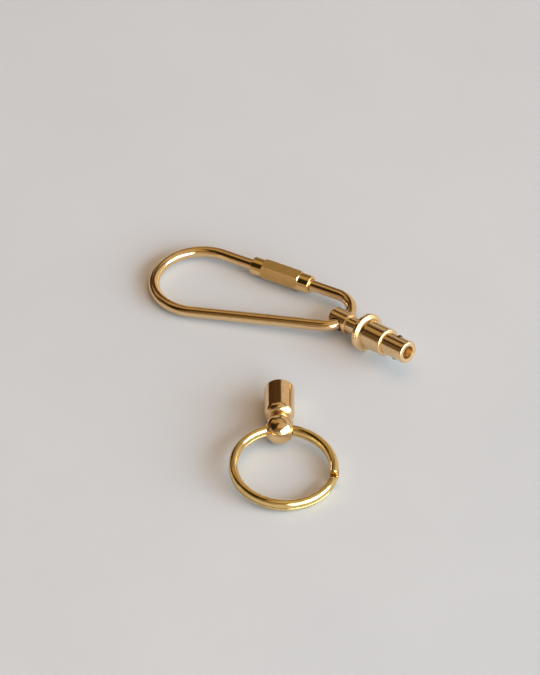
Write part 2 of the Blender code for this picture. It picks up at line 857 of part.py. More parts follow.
def print_axes():
    """Prints each frame's place and axes, in metres, for whoever sets the joints."""
    for obj in bpy.data.objects:
        if obj.type == "EMPTY":
            world = obj.matrix_world
            axes = [tuple(round(part, 6) for part in world.col[index][:3]) for index in range(3)]
            place = tuple(round(part, 7) for part in world.translation)
            print(obj.name, "at", place, "axes", axes)


def main():
    clear_scene()
    bench = frame("bench", None)
    halves = [build_link_half(bench), build_loose_half(bench)]
    lay_on_bench(bench, halves)
    print_axes()


main()
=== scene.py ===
# %% [markdown]
# # A two-part brass key holder
#
# The holder has a pear-shaped wire link with a screw sleeve, a turned plug that hangs on the link,
# and a loose half: a short socket, a swivelling ball eye and a split ring. Both halves lie on a
# pale bench under window light.
#
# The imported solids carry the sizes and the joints. They are faceted, and polished brass shows every
# facet, so this lesson works out a fine surface over each solid that shows, in the same place.

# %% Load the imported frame
import json
import math

import bmesh
import bpy
import numpy as np
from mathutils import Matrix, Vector


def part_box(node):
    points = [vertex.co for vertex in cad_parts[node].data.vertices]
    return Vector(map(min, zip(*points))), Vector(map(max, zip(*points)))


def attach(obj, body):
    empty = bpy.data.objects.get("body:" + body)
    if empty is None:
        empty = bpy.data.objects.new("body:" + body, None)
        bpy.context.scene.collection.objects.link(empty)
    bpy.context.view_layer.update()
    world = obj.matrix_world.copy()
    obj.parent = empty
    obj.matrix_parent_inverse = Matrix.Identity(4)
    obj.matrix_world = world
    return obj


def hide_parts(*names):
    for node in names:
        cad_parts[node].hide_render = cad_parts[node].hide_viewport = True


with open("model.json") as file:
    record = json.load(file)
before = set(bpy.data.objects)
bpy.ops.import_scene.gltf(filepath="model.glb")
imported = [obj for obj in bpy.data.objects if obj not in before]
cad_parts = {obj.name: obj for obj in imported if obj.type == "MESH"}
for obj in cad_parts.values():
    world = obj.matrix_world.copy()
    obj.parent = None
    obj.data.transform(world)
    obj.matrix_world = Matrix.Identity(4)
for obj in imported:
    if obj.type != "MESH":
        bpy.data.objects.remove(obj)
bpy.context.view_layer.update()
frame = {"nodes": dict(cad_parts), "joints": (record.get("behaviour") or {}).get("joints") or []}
joints = {joint["name"]: joint for joint in frame["joints"]}

# %% [markdown]
# ## Axes of the pieces
#
# Each piece is drawn in millimetres along its own Z axis and then set in place by an origin and
# three unit vectors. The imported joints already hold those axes: the sleeve's screw axis runs along
# the link's leg, the stem's hinge is the wire's tangent, and so on. Reading them there, and not
# typing them again, keeps the fine surfaces exactly on their solids.

# %% Axes read from the joints
MM = 0.001


def unit(vector):
    return np.asarray(vector, float) / np.linalg.norm(vector)


def joint_axis(name):
    return unit(joints[name]["axis"])


def joint_place(name):
    return np.asarray(joints[name]["pos_m"], float)


class Axes:
    """An origin and three unit vectors. A local point p lands at origin + x px + y py + z pz."""

    def __init__(self, origin, x_axis, y_axis, z_axis):
        self.origin = np.asarray(origin, float)
        self.rows = np.array([x_axis, y_axis, z_axis])

    def place(self, points):
        """Local points in millimetres become places on the bench in metres."""
        return self.origin + points * MM @ self.rows

    def turned(self, angle):
        """The same axes turned about their own Z by the angle."""
        x_axis, y_axis, z_axis = self.rows
        across = x_axis * math.cos(angle) + y_axis * math.sin(angle)
        return Axes(self.origin, across, np.cross(z_axis, across), z_axis)

    def tipped(self, angle):
        """The same axes turned about their own X by the angle."""
        x_axis, y_axis, z_axis = self.rows
        ahead = y_axis * math.cos(angle) + z_axis * math.sin(angle)
        return Axes(self.origin, x_axis, ahead, np.cross(x_axis, ahead))


# %% [markdown]
# ## Camera
#
# The photograph looks down on the bench at about forty degrees through a long lens. The camera aims
# at a point on the bench, from a distance and a height angle. A long lens keeps the rings' ellipses
# nearly free of perspective, and the aim point sits in the middle of the picture, so no shift is
# needed.

# %% Camera
picture_width = 540
sensor_width = 36.0
focal_pixels = 3420
camera_distance = 906.9 * MM
camera_elevation = math.radians(41.5)
aim_point = np.array([-2.675, 16.299, 0]) * MM


def placed(name, data):
    """A new object in the scene."""
    obj = bpy.data.objects.new(name, data)
    bpy.context.scene.collection.objects.link(obj)
    return obj


camera_data = bpy.data.cameras.new("bench_camera")
camera_data.sensor_fit = "HORIZONTAL"
camera_data.sensor_width = sensor_width
camera_data.lens = focal_pixels * sensor_width / picture_width
camera_data.clip_end = 50
camera = placed("bench_camera", camera_data)
towards_camera = np.array([0, -math.cos(camera_elevation), math.sin(camera_elevation)])
camera.location = aim_point + camera_distance * towards_camera
camera.rotation_euler = (math.pi / 2 - camera_elevation, 0, 0)
bpy.context.scene.camera = camera
print("camera at", tuple(round(part, 4) for part in camera.location))

# %% [markdown]
# ## Shader arithmetic
#
# Finishes and the room's light are built from shader nodes. Written out one by one, a formula takes
# a page of nodes. A small class that wraps a socket and answers to +, -, * and / lets a formula be
# written as it is thought, and one method adds every other kind of node: its settings go in first,
# then the values or links of its sockets.


# %% A socket that can be added and multiplied
class Signal:
    """One output of a node graph. Arithmetic on it adds Math nodes to the same graph."""

    def __init__(self, graph, socket):
        self.graph = graph
        self.socket = socket

    def math(self, operation, *values, clamp=False):
        settings = {"operation": operation, "use_clamp": clamp}
        return self.graph.node("ShaderNodeMath", settings, dict(enumerate(values)))

    def __add__(self, other):
        return self.math("ADD", self, other)

    def __radd__(self, other):
        return self.math("ADD", other, self)

    def __sub__(self, other):
        return self.math("SUBTRACT", self, other)

    def __rsub__(self, other):
        return self.math("SUBTRACT", other, self)

    def __mul__(self, other):
        return self.math("MULTIPLY", self, other)

    def __rmul__(self, other):
        return self.math("MULTIPLY", other, self)

    def __truediv__(self, other):
        return self.math("DIVIDE", self, other)

    def __abs__(self):
        return self.math("ABSOLUTE", self)

    def clamped(self):
        return self.math("ADD", self, 0, clamp=True)


class Graph:
    """A node tree with one method that adds any node and returns one of its outputs."""

    def __init__(self, tree):
        self.tree = tree
        self.tree.nodes.clear()

    def node(self, kind, settings=None, inputs=None, output=0):
        made = self.tree.nodes.new(kind)
        for key, value in (settings or {}).items():
            setattr(made, key, value)
        for key, value in (inputs or {}).items():
            if isinstance(value, Signal):
                self.tree.links.new(value.socket, made.inputs[key])
            else:
                made.inputs[key].default_value = value
        return Signal(self, made.outputs[output]) if made.outputs else made

    def mixed(self, share, colour_a, colour_b):
        """A colour between two colours. A plain colour is three numbers."""
        ends = [value if isinstance(value, Signal) else (*value, 1) for value in (colour_a, colour_b)]
        settings = {"data_type": "RGBA"}
        return self.node("ShaderNodeMix", settings, {0: share, 6: ends[0], 7: ends[1]}, output=2)

    def vector(self, x, y, z):
        return self.node("ShaderNodeCombineXYZ", {}, {0: x, 1: y, 2: z})

    def parts(self, vector):
        """The three numbers of a vector."""
        return [self.node("ShaderNodeSeparateXYZ", {}, {0: vector}, output=axis) for axis in range(3)]

    def noise(self, vector, scale, detail, roughness=0.5):
        inputs = {"Vector": vector, "Scale": scale, "Detail": detail, "Roughness": roughness}
        return self.node("ShaderNodeTexNoise", {}, inputs, output="Fac")


# %% [markdown]
# ## The room
#
# Polished metal has almost no colour of its own to show: what the eye reads as brass is the room,
# bent by each curve. The streaks in the photograph were read back as directions, and they give a
# plain map: one large window to the right, a pale wall beyond it, a dark brown room on the left and
# a warm ceiling. The window is an area lamp, three metres off and as large as the real one looks
# from the bench.

# %% Window lamp
window_azimuth = math.radians(127)
window_elevation = math.radians(19)
window_distance = 3.0
window_width = 4.6
window_height = 2.07
window_radiance = 8.0
window_colour = (0.79, 0.93, 1.03)


def direction(azimuth, elevation):
    """The unit vector towards a compass direction (0 is +Y, 90 degrees is +X) and a height."""
    level = math.cos(elevation)
    return Vector((math.sin(azimuth) * level, math.cos(azimuth) * level, math.sin(elevation)))


def area_lamp(name, width, height, radiance, colour):
    """A lamp of this size in metres. Its power is its radiance times pi times its area."""
    data = bpy.data.lights.new(name, "AREA")
    data.shape = "RECTANGLE"
    data.size = width
    data.size_y = height
    data.energy = radiance * math.pi * width * height
    data.color = colour
    lamp = placed(name, data)
    lamp.visible_camera = False
    print(f"{name} lamp: {data.energy:.0f} watts")
    return lamp


window = area_lamp("window", window_width, window_height, window_radiance, window_colour)
towards_window = direction(window_azimuth, window_elevation)
window.location = towards_window * window_distance
window.rotation_euler = towards_window.to_track_quat("Z", "Y").to_euler()

# %% [markdown]
# A room's warm walls also light the bench from above, and fill the shadows. A second lamp does that
# softly. It is left out of mirror-like reflections, so the metal still shows only the room.

# %% Warm fill from above
fill_height = 2.5
fill_width = 3.2
fill_radiance = 0.95
fill_colour = (1.0, 0.56, 0.34)
fill = area_lamp("fill", fill_width, fill_width, fill_radiance, fill_colour)
fill.location = (0, 0, fill_height)
fill.visible_glossy = False

# %% [markdown]
# The rest of the room is the world's colour as a function of direction. A painted panorama would
# do, but a few panels in a list are easier to move: each has a compass direction, a height and a
# soft edge, and is mixed over the ones before it.

# %% World colour by direction
room_colour = (0.070, 0.036, 0.012)
panels = [
    # name, azimuth, half width, low, high, soft edge (degrees), colour
    ("left_dark", -112, 32, 24, 58, 8, (0.026, 0.022, 0.012)),
    ("ceiling_right", 80, 100, 50, 95, 14, (0.56, 0.48, 0.34)),
    ("ceiling_far", -38, 42, 52, 95, 12, (0.50, 0.36, 0.17)),
    ("ceiling_window", 120, 42, 40, 68, 8, (0.66, 0.60, 0.47)),
    ("behind_high", 180, 30, 50, 82, 10, (0.66, 0.50, 0.21)),
    ("behind_middle", 180, 30, 22, 50, 6, (0.24, 0.17, 0.10)),
    ("behind_low", 180, 35, -5, 22, 6, (0.70, 0.62, 0.44)),
    ("left_high", -52, 14, 30, 55, 6, (0.46, 0.34, 0.18)),
    ("left_shelf", -90, 24, 6, 10, 3, (0.25, 0.19, 0.11)),
    ("left_shelf_top", -90, 24, 17, 23, 4, (0.20, 0.15, 0.08)),
    ("back_left", -133, 40, -5, 18, 6, (0.46, 0.38, 0.27)),
    ("back_left_shelf", -146, 12, 18, 42, 6, (0.20, 0.145, 0.08)),
    ("far_wall", -10, 13, -5, 32, 10, (0.55, 0.48, 0.36)),
    ("right_wall", 50, 40, -5, 41, 2, (0.70, 0.62, 0.50)),
]

world = bpy.data.worlds.new("room")
world.use_nodes = True
bpy.context.scene.world = world
room = Graph(world.node_tree)
ray = room.node("ShaderNodeTexCoord", output="Generated")
ray_x, ray_y, ray_z = room.parts(ray)
azimuth = ray_x.math("ARCTAN2", ray_x, ray_y)
elevation = ray_z.math("ARCSINE", ray_z)


def panel_share(middle, half_width, low, high, soft):
    """1 inside a panel, 0 outside, with straight slopes of the soft width between."""
    middle, half_width, low, high, soft = np.radians([middle, half_width, low, high, soft]).tolist()
    turn = abs(azimuth.math("WRAP", azimuth - middle, math.pi, -math.pi))
    across = ((half_width - turn) / soft + 0.5).clamped()
    above = ((elevation - low) / soft + 0.5).clamped()
    below = ((high - elevation) / soft + 0.5).clamped()
    return across * above * below


seen = room_colour
for name, *place, colour in panels:
    seen = room.mixed(panel_share(*place), seen, colour)
background = room.node("ShaderNodeBackground", {}, {"Color": seen, "Strength": 1.0})
room.node("ShaderNodeOutputWorld", {}, {"Surface": background})
print(len(panels), "panels in the room")

# %% [markdown]
# ## The bench
#
# The bench is a pale matte board, wide enough that its edge is never in view. A disc of one face
# does for the shape. Its finish carries a slow cloudiness and a fine grain, so that the ground
# under the brass is quiet but not dead flat.

# %% Bench top
bench_radius = 4.0
bench_colour = (0.554, 0.597, 0.653)
bench_shade = (0.514, 0.557, 0.613)
cloud_part = 1.2
grain_part = 0.35
shade_from = 0.45

rim_turn = np.linspace(0, 2 * np.pi, num=96, endpoint=False)
rim = bench_radius * np.stack([np.cos(rim_turn), np.sin(rim_turn), 0 * rim_turn], axis=1)
bench_mesh = bpy.data.meshes.new("bench_top")
bench_mesh.from_pydata(rim.tolist(), [], [list(range(len(rim)))])
bench_top = placed("bench_top", bench_mesh)

bench_finish = bpy.data.materials.new("bench_board")
bench_finish.use_nodes = True
board = Graph(bench_finish.node_tree)
board_place = board.node("ShaderNodeTexCoord", output="Object")
cloud = board.noise(board_place, scale=22.0, detail=3.0)
grain = board.noise(board_place, scale=900.0, detail=3.0)
shade = (cloud * cloud_part + grain * grain_part - shade_from).clamped()
board_bump = board.node("ShaderNodeBump", {}, {"Height": grain, "Strength": 0.12, "Distance": 0.0002})
board_shader = board.node(
    "ShaderNodeBsdfPrincipled",
    {},
    {
        "Base Color": board.mixed(shade, bench_colour, bench_shade),
        "Roughness": 0.75,
        "Specular IOR Level": 0.3,
        "Normal": board_bump,
    },
)
board.node("ShaderNodeOutputMaterial", {}, {"Surface": board_shader})
bench_mesh.materials.append(bench_finish)
print("bench of", 2 * bench_radius, "metres")

# %% [markdown]
# ## Metal finishes
#
# All the metals here are one idea with other numbers. A lathe leaves rings round the axis, and a
# drawing die leaves lines along a wire, both far finer than the eye resolves but enough to soften
# a reflection one way. Hands and pockets add three slower things: a cloudy film that dulls and
# browns the metal, bright edges where it rubs, and dark recesses where nothing rubs. Inside holes
# and bores the colour goes on down towards near black, which is painted shade with some grime.
#
# Each piece stores three things at its points: "local", its own coordinates in millimetres, which
# the rings and lines follow; "wear", which is 1 on an outside edge, -1 in an inside corner and down
# to -2 deep in a hole, where the colour is darkened as painted shade with some grime; and "matt",
# up to 1 where the tool left a duller face.


# %% One recipe for every metal
ring_slant = 1.3
ring_wave = 0.2
draw_stretch = 0.03
film_from = 0.46
film_slope = 2.6
film_in_recess = 0.8
scuffs_from = 0.6
scuffs_slope = 3.0
# The near-black colour below a wear of -1 is painted shade for the dark inside holes and bores, with some
# grime.
grime_and_shade_cover = 0.9
grime_and_shade_colour = (0.10, 0.06, 0.03)
film_dulls = 0.35
lines_dull = 0.5
scuffs_dull = 0.4
edge_shines = 0.3
matt_dulls = 0.2


def metal_finish(name, colour, film, roughness, marks, depth):
    """A metal with the marks of its making.

    marks is "turned" for rings round the local Z axis, "drawn" for lines along it, or "plain" for a
    fine grain in all directions. depth is the height of the marks in millimetres.
    """
    material = bpy.data.materials.new(name)
    material.use_nodes = True
    graph = Graph(material.node_tree)
    place = graph.node("ShaderNodeTexCoord", output="Object")
    local = graph.node("ShaderNodeAttribute", {"attribute_name": "local"}, output="Vector")
    wear = graph.node("ShaderNodeAttribute", {"attribute_name": "wear"}, output="Fac")
    matt = graph.node("ShaderNodeAttribute", {"attribute_name": "matt"}, output="Fac")
    x, y, z = graph.parts(local)
    if marks == "turned":
        square = x * x + y * y
        reach = square.math("SQRT", square)
        across_rings = graph.vector(z + reach * ring_slant, reach * ring_wave, 0.0)
        lines = graph.noise(across_rings, scale=9.0, detail=4.0)
    elif marks == "drawn":
        lines = graph.noise(graph.vector(x, y, z * draw_stretch), scale=8.0, detail=4.0)
    else:
        lines = graph.noise(place, scale=9000.0, detail=3.0)
    cloud = graph.noise(place, scale=420.0, detail=4.0, roughness=0.62)
    scuffs = graph.noise(place, scale=2600.0, detail=3.0, roughness=0.7)
    edge = wear.math("MAXIMUM", wear, 0.0)
    recess = (0 - wear).clamped()
    # Below a wear of -1 the colour moves towards near black: painted shade in holes and bores, with some
    # grime.
    grime_and_shade = (-1 - wear).clamped()
    filmed = ((cloud - film_from) * film_slope).clamped() * (1 - edge) + recess * film_in_recess
    clean = graph.mixed(filmed.clamped(), colour, film)
    dulled = roughness + filmed * (film_dulls * roughness) + (lines - 0.5) * (lines_dull * roughness)
    scuffed = ((scuffs - scuffs_from) * scuffs_slope).clamped() * (scuffs_dull * roughness)
    worn = dulled + scuffed - edge * (edge_shines * roughness) + matt * matt_dulls
    bump = graph.node("ShaderNodeBump", {}, {"Height": lines, "Strength": 1.0, "Distance": depth * MM})
    shader = graph.node(
        "ShaderNodeBsdfPrincipled",
        {},
        {
            "Base Color": graph.mixed(grime_and_shade * grime_and_shade_cover, clean, grime_and_shade_colour),
            "Metallic": 1.0,
            "Roughness": worn.clamped(),
            "Normal": bump,
        },
    )
    graph.node("ShaderNodeOutputMaterial", {}, {"Surface": shader})
    return material


finish_table = [
    # name, colour, film, roughness, marks, height of the marks in millimetres
    ("brass_turned", (0.86, 0.60, 0.33), (0.76, 0.51, 0.24), 0.11, "turned", 0.0006),
    ("brass_drawn", (0.86, 0.60, 0.33), (0.76, 0.51, 0.24), 0.12, "drawn", 0.0008),
    ("brass_satin", (0.88, 0.60, 0.27), (0.76, 0.49, 0.20), 0.12, "drawn", 0.002),
    ("brass_ring", (0.86, 0.63, 0.28), (0.70, 0.46, 0.15), 0.11, "drawn", 0.002),
    ("ball_steel", (0.26, 0.24, 0.22), (0.15, 0.13, 0.11), 0.14, "turned", 0.0003),
    ("bright_steel", (0.62, 0.61, 0.60), (0.42, 0.39, 0.35), 0.22, "plain", 0.001),
    ("bush_bronze", (0.62, 0.42, 0.24), (0.44, 0.27, 0.13), 0.32, "plain", 0.001),
]
finishes = {name: metal_finish(name, *values) for name, *values in finish_table}
print("finishes:", ", ".join(finishes))

# %% [markdown]
# ## Profiles and turning
#
# A turned piece is a profile spun round an axis. The profile is a row of corners, each with its
# distance along the axis, its radius and its rounding. A rounded corner becomes an arc of eight
# short steps. Smooth shading spreads an arc's slope into the long face beside it, so every long
# face gets two rows of points close to each of its ends, which hold the face straight.

# %% Profiles from rounded corners
arc_steps = 8
hold = 0.03
fade = 0.22
held_face = 2.5 * fade
edge_wear = 0.5


def arc_at(before, corner, after, radius):
    """Points of the arc that rounds a corner, from tangent point to tangent point.

    The arc's centre lies on the corner's bisector at radius / sin(half angle).
    """
    back = unit(before - corner)
    ahead = unit(after - corner)
    half = math.acos(np.clip(back @ ahead, -1, 1)) / 2
    setback = radius / math.tan(half)
    centre = corner + unit(back + ahead) * radius / math.sin(half)
    start = corner + back * setback - centre
    end = corner + ahead * setback - centre
    whole = math.acos(np.clip(unit(start) @ unit(end), -1, 1))
    share = np.linspace(0, 1, arc_steps + 1)[:, None]
    return centre + (start * np.sin((1 - share) * whole) + end * np.sin(share * whole)) / math.sin(whole)


def profile(*corners):
    """The (along, radius, wear) rows of an outline of (along, radius, rounding) corners.

    A positive rounding is an arc, a negative one a flat chamfer, zero keeps the corner. An outside
    corner, where the outline turns towards the axis, wears bright; an inside one stays dark.
    """
    places = np.array([corner[:2] for corner in corners], float)
    rows = []
    for index, (_, _, rounding) in enumerate(corners):
        corner = places[index]
        if index in (0, len(corners) - 1):
            rows.append([*corner, 0])
            continue
        before, after = places[index - 1], places[index + 1]
        (from_x, from_y), (to_x, to_y) = corner - before, after - corner
        wear = -math.copysign(1, from_x * to_y - from_y * to_x)
        if rounding > 0:
            arc = arc_at(before, corner, after, rounding)
        elif rounding < 0:
            arc = [corner + unit(end - corner) * -rounding for end in (before, after)]
        else:
            arc = [corner]
        rows += [[*point, wear] for point in arc]
    rows = np.array(rows)
    held = [rows[0]]
    for row, following in zip(rows, rows[1:]):
        step = following - row
        length = np.linalg.norm(step[:2])
        if length > held_face:
            pace = step[:2] / length
            for distance, kept in ((hold, edge_wear), (fade, 0)):
                held.append(np.append(row[:2] + pace * distance, row[2] * kept))
            for distance, kept in ((fade, 0), (hold, edge_wear)):
                held.append(np.append(following[:2] - pace * distance, following[2] * kept))
        held.append(following)
    return np.array(held)


# %% [markdown]
# Spinning gives a grid of points, one row for each row of the profile. The wear of the profile's
# corners goes with it, and a mark for end faces, which the tool leaves duller than a straight side.

# %% Spinning a profile
turned_columns = 160


class Patch:
    """A grid of local points in millimetres, with their wear, their dullness and the pattern's place."""

    def __init__(self, points, wear, local=None, matt=0.0):
        self.points = points
        self.wear = np.broadcast_to(wear, points.shape[:2])
        self.matt = np.broadcast_to(matt, points.shape[:2])
        self.local = points if local is None else local


def facing(rows):
    """1 at rows of a flat end face, 0 at rows of a straight side.

    A step's share is its change of radius divided by its length, and a row takes the smaller share
    of the two steps beside it.
    """
    steps = np.diff(rows[:, :2], axis=0)
    share = np.abs(steps[:, 1]) / np.maximum(np.hypot(*steps.T), 1e-9)
    return np.minimum(np.append(share, 0), np.insert(share, 0, 0))


def spun(rows, angles, matt=None):
    """x = radius cos(angle), y = radius sin(angle), z = along, for every row and angle.

    An end face is cut across the bar and comes out duller, unless matt says otherwise.
    """
    along, radius, wear = rows.T[:, :, None]
    x = radius * np.cos(angles)
    y = radius * np.sin(angles)
    z = along + 0 * angles
    dull = facing(rows) if matt is None else matt * np.ones(len(rows))
    return Patch(np.stack([x, y, z], axis=-1), wear, matt=dull[:, None])


def columns_from(start, count=turned_columns):
    """Evenly spaced angles round a circle, the first at the start angle."""
    return start + np.linspace(0, 2 * np.pi, count, endpoint=False)


# %% [markdown]
# ## From grids to a piece
#
# Every piece is one or more grids of points. All grids of a piece go into one mesh by array, the
# points where they meet are merged, and the normals are worked out once the surface is closed.

# %% Mesh of several patches
merge_distance = 3e-7
sharp_angle = math.radians(28)
point_values = [("local", "FLOAT_VECTOR", "vector"), ("wear", "FLOAT", "value"), ("matt", "FLOAT", "value")]


def grid_faces(rows, columns, first):
    """The four-cornered faces of a grid, as point numbers. The last column joins the first."""
    index = np.arange(rows * columns).reshape(rows, columns) + first
    index = np.concatenate([index, index[:, :1]], axis=1)
    quads = np.stack([index[:-1, :-1], index[:-1, 1:], index[1:, 1:], index[1:, :-1]], axis=-1)
    return quads.reshape(-1, 4)


def mesh_of(name, patches, axes):
    """One closed mesh of all patches, in place on the bench, with the values at its points."""
    points = np.concatenate([patch.points.reshape(-1, 3) for patch in patches])
    first = 0
    faces = []
    for patch in patches:
        rows, columns = patch.points.shape[:2]
        faces.append(grid_faces(rows, columns, first))
        first += rows * columns
    faces = np.concatenate(faces)
    mesh = bpy.data.meshes.new(name)
    mesh.vertices.add(len(points))
    mesh.vertices.foreach_set("co", axes.place(points).astype(np.float32).ravel())
    mesh.loops.add(faces.size)
    mesh.loops.foreach_set("vertex_index", faces.astype(np.int32).ravel())
    mesh.polygons.add(len(faces))
    mesh.polygons.foreach_set("loop_start", np.arange(0, faces.size, 4, dtype=np.int32))
    for part, kind, field in point_values:
        values = np.concatenate([getattr(patch, part).ravel() for patch in patches])
        mesh.attributes.new(part, kind, "POINT").data.foreach_set(field, values)
    mesh.update(calc_edges=True)
    work = bmesh.new()
    work.from_mesh(mesh)
    bmesh.ops.remove_doubles(work, verts=work.verts, dist=merge_distance)
    bmesh.ops.recalc_face_normals(work, faces=work.faces)
    open_edges = sum(not edge.is_manifold for edge in work.edges)
    work.to_mesh(mesh)
    work.free()
    mesh.shade_smooth()
    mesh.set_sharp_from_angle(angle=sharp_angle)
    print(f"{name}: {len(mesh.polygons)} faces, {open_edges} open edges")
    return mesh


def gap_between(obj, node):
    """The largest distance between a piece's box and its solid's box, in millimetres."""
    points = np.array([corner[:] for corner in obj.bound_box])
    solid = np.array([corner[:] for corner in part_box(node)])
    return abs(solid - [points.min(axis=0), points.max(axis=0)]).max() / MM


def fine_piece(name, patches, axes, body, node, finish="brass_turned"):
    """A finished piece that rides on a body and takes the place of its faceted node."""
    obj = placed(name, mesh_of(name, patches, axes))
    obj.data.materials.append(finishes[finish])
    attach(obj, body)
    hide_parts(node)
    print(f"  {gap_between(obj, node):.3f} mm from the box of {node}")


# %% [markdown]
# ## A drilled band
#
# The stem's wire hole and the plug's ball holes cross a round bar. Cutting a fine mesh with a
# Boolean leaves long thin triangles that show as scratches in polished metal. Instead, the band of
# the bar round the hole is drawn as rays that run from the hole's rim to the edge of the band. The
# band's edge uses the same columns as the turned rows beside it, so that the points merge.

# %% Rays from a hole's rim to the band's edge
hole_edge_round = 0.12
ray_rows = 10
ray_crowding = 1.5
rim_rows = 6
wall_rows = 6
side_steps = 30
# A hole's wall is painted near black: painted shade inside the hole, with some grime.
hole_grime_and_shade = -2


def drilled_half(radius, hole, low, high, middle, count, inner_end):
    """Half of a bar's band with a cross hole along local +X, at the middle height.

    A ray at angle t leaves the hole at (y, z) = hole (cos t, sin t) and, on the bar, at the angle
    asin(y / radius). The rim is rounded: the hole widens by e (1 - cos b) while the bar's radius
    drops by e (1 - sin b), as b runs from 0 to a quarter turn. inner_end is how far from the axis
    the hole's wall ends on a floor, and 0 for a hole that goes through.
    """
    half_turn = np.linspace(-np.pi / 2, np.pi / 2, count // 2 + 1)
    rise = np.linspace(low, high, side_steps + 1)
    edge_turn = np.concatenate([half_turn[:-1], np.full(side_steps, np.pi / 2)])
    edge_turn = np.concatenate([edge_turn, -edge_turn])
    edge_rise = np.concatenate([np.full(count // 2, low), rise[:-1]])
    edge_rise = np.concatenate([edge_rise, low + high - edge_rise])
    ray = np.arctan2(edge_rise - middle, radius * edge_turn)
    quarter = np.linspace(0, np.pi / 2, rim_rows)[:, None]
    widened = hole + hole_edge_round * (1 - np.cos(quarter))
    lowered = radius - hole_edge_round * (1 - np.sin(quarter))
    rim_y = widened * np.cos(ray)
    rim_z = widened * np.sin(ray) + middle
    rim_x = np.sqrt(lowered**2 - rim_y**2)
    share = np.linspace(0, 1, wall_rows + 1)[:-1, None]
    wall_x = inner_end + (rim_x[0] - inner_end) * share
    wall_y = rim_y[0] + 0 * share
    wall_z = rim_z[0] + 0 * share
    out = np.linspace(0, 1, ray_rows + 1)[1:, None] ** ray_crowding
    start_turn = np.arcsin(rim_y[-1] / radius)
    turn = start_turn + (edge_turn - start_turn) * out
    bar_z = rim_z[-1] + (edge_rise - rim_z[-1]) * out
    x = np.concatenate([wall_x, rim_x, radius * np.cos(turn)])
    y = np.concatenate([wall_y, rim_y, radius * np.sin(turn)])
    z = np.concatenate([wall_z, rim_z, bar_z])
    wear = np.concatenate([np.full(wall_rows, hole_grime_and_shade), np.ones(rim_rows), 0 * out[:, 0]])[:, None]
    if inner_end:
        floor_row = np.stack([x[:1], 0 * y[:1], middle + 0 * z[:1]])
        x, y, z = (np.concatenate([row, part]) for row, part in zip(floor_row, (x, y, z)))
        wear = np.concatenate([[[hole_grime_and_shade]], wear])
    return np.stack([x, y, z], axis=-1), wear


def drilled_band(radius, hole, low, high, middle, angles, inner_end=0):
    """Both halves of the band, the first hole at the angle of the first column."""
    points, wear = drilled_half(radius, hole, low, high, middle, len(angles), inner_end)
    halves = []
    for start in (angles[0], angles[0] + np.pi):
        x, y, z = np.moveaxis(points, -1, 0)
        cosine, sine = math.cos(start), math.sin(start)
        halves.append(Patch(np.stack([x * cosine - y * sine, x * sine + y * cosine, z], -1), wear))
    return halves


# %% [markdown]
# ## The plug
#
# One turned piece: flange, barrel and nose. Round the flange, the barrel's front edge and the
# nose's tip, small roundings and chamfers catch the window as bright rings, so each of them is
# drawn at its real size. Two cross holes let the lock balls out of the nose.

# %% Plug body
barrel_radius = 3.75
flange_radius = 5.2
nose_radius = 3.0
nose_bore_radius = 1.7
chamber_radius = 3.05
body_back = 8.6
flange_front = 9.85
barrel_end = 17.4
nose_tip = 24.9
chamber_front = 16.2
ball_place = 20.8
ball_hole_radius = 0.95
ball_band = 1.5
band_low = ball_place - ball_band
band_high = ball_place + ball_band
ball_hole_floor = 1.85
ball_turn = math.radians(-31)
flange_rim_round = 0.4
flange_root_round = 1.0
plug_edge_round = 0.45
nose_root_round = 0.1
nose_bore_chamfer = 0.15
bore_margin = 0.05
bore_grime_and_shade = -1.15

wire_tangent = joint_axis("stem_swing")
plug_axis = joint_axis("plug_swivel")
plug_axes = Axes(joint_place("stem_swing"), np.cross(wire_tangent, plug_axis), wire_tangent, plug_axis)
plug_columns = columns_from(ball_turn)
plug_rows = profile(
    (band_high, nose_radius, 0),
    (nose_tip, nose_radius, plug_edge_round),
    (nose_tip, nose_bore_radius, -nose_bore_chamfer),
    (chamber_front, nose_bore_radius, 0),
    (chamber_front, chamber_radius, 0),
    (body_back, chamber_radius, 0),
    (body_back, flange_radius, flange_rim_round),
    (flange_front, flange_radius, flange_rim_round),
    (flange_front, barrel_radius, flange_root_round),
    (barrel_end, barrel_radius, plug_edge_round),
    (barrel_end, nose_radius, nose_root_round),
    (band_low, nose_radius, 0),
)
nose_band = drilled_band(
    nose_radius, ball_hole_radius, band_low, band_high, ball_place, plug_columns, ball_hole_floor
)
# The bore's rows are painted dark: painted shade inside the nose, with some grime.
in_bore = (plug_rows[:, 1] < nose_bore_radius + bore_margin) & (plug_rows[:, 0] > chamber_front)
plug_matt = np.where(in_bore, 1.0, facing(plug_rows))
plug_rows[in_bore, 2] = bore_grime_and_shade
plug_patches = [spun(plug_rows, plug_columns, plug_matt), *nose_band]
fine_piece("plug_turned", plug_patches, plug_axes, "plug", "plug_body")

# %% [markdown]
# ## The stem and the spindle
#
# The stem's thick end has the wire hole, and its neck runs into the plug. Its hole lies along
# local Y, so the columns start there. The spindle in front of it has a cone that pushes the balls
# out.

